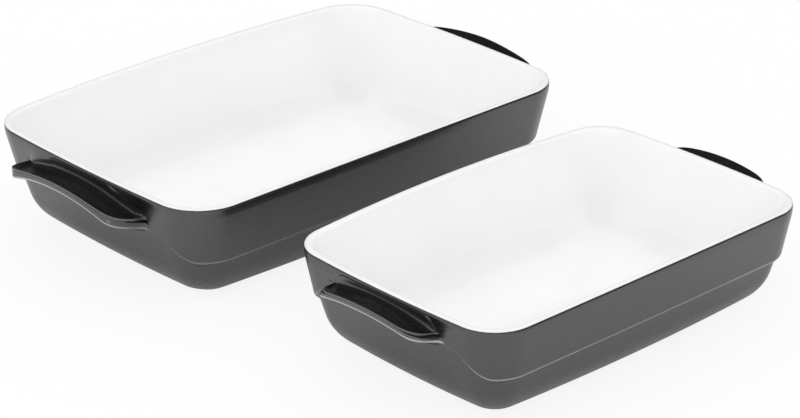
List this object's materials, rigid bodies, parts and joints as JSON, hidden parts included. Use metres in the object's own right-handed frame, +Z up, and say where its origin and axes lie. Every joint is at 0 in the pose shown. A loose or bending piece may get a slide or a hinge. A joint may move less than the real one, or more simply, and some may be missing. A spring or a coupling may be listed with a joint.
{
  "type": "baking dish",
  "caption": "Rectangular stoneware oven dishes, a larger and a smaller that nest, with white lining, black outside, stepped walls and moulded end handles.",
  "frame": {"origin": "on the surface that the dishes stand on, at the centre of the whole set's box", "axes": "+X along the length of both dishes, +Y from the small dish at the front to the large dish behind, +Z up"},
  "size_m": [0.4034, 0.5022, 0.0818],
  "materials": {
    "stoneware": "matte, bare fired clay, seen only on the foot ring",
    "black_glaze": "satin brown-black glaze",
    "white_glaze": "gloss white glaze"
  },
  "bodies": {
    "large_dish": {"large_stoneware_body": "stoneware", "large_outer_glaze": "black_glaze", "large_lining_glaze": "white_glaze", "large_base_glaze": "black_glaze"},
    "small_dish": {"small_stoneware_body": "stoneware", "small_outer_glaze": "black_glaze", "small_lining_glaze": "white_glaze", "small_base_glaze": "black_glaze"}
  },
  "joints": [
    {"name": "small_dish_lift", "type": "slide", "parent": "large_dish", "child": "small_dish", "axis": [0, 0, 1], "range_m": [0, 0.15]}
  ]
}
